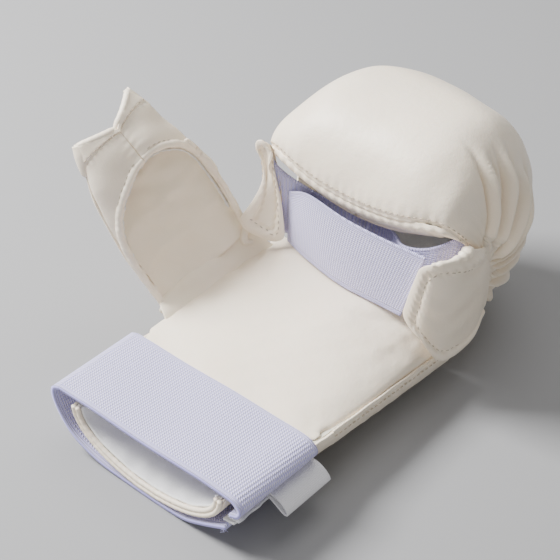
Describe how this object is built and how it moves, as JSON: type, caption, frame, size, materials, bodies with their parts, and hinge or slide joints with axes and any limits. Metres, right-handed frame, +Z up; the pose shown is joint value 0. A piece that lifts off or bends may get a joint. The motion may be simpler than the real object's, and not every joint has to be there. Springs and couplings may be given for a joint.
{
  "type": "karate fist mitt",
  "caption": "Left-hand padded karate fist mitt lying palm up, with a curved fist pad over the fingers, a padded thumb sleeve, finger elastics and a hook-and-loop wrist strap.",
  "frame": {"origin": "centre of the flat lower face of the hand-back shell, which rests on the floor", "axes": "+X across the palm from the thumb side to the little-finger side, +Y from the wrist to the knuckles, +Z up out of the palm"},
  "size_m": [0.1743, 0.2414, 0.1225],
  "materials": {
    "leather": "smooth cream coated leather",
    "leather_inner": "smooth cream inner leather",
    "elastic": "woven pale lavender elastic",
    "white_lining": "white knitted lining",
    "foam": "soft padding",
    "tape": "white satin tape",
    "hook": "hook and loop tape"
  },
  "bodies": {
    "hand": {"hand_back_shell": "leather", "hand_foam_core": "foam", "hand_pad_cover": "leather", "hand_pad_foam": "foam", "thumb_side_tab": "leather", "outer_side_tab": "leather", "finger_strap_front": "elastic", "finger_strap_rear": "elastic", "finger_divider_strap": "elastic", "cuff_shell": "leather", "cuff_padding": "foam", "cuff_lining": "white_lining", "cuff_binding": "leather", "wrist_strap_base": "elastic", "closure_loop_patch": "hook"},
    "fist": {"fist_shell": "leather", "fist_foam": "foam", "fist_lining": "white_lining", "fist_hem": "leather"},
    "thumb": {"thumb_back_shell": "leather", "thumb_foam": "foam", "thumb_inner_panel": "leather_inner", "thumb_front_panel_palm": "leather", "thumb_front_panel_wrist": "leather", "thumb_edge_roll_palm": "leather", "thumb_edge_roll_wrist": "leather", "thumb_web": "leather_inner"},
    "strap": {"wrist_strap_top": "elastic", "closure_hook_patch": "hook", "pull_tab": "tape"}
  },
  "joints": [
    {"name": "fist_curl", "type": "hinge", "parent": "hand", "child": "fist", "pos_m": [0, 0.0204, 0.0008], "axis": [-1, 0, 0], "range_deg": [0, 12], "stiffness_Nm_per_rad": 3},
    {"name": "thumb_swing", "type": "hinge", "parent": "hand", "child": "thumb", "pos_m": [-0.056, -0.03, 0.035], "axis": [0, -1, 0], "range_deg": [-5, 25], "stiffness_Nm_per_rad": 0.2},
    {"name": "wrist_strap_open", "type": "hinge", "parent": "hand", "child": "strap", "pos_m": [-0.0517, -0.1055, 0.0343], "axis": [0, -1, 0], "range_deg": [0, 100]}
  ]
}
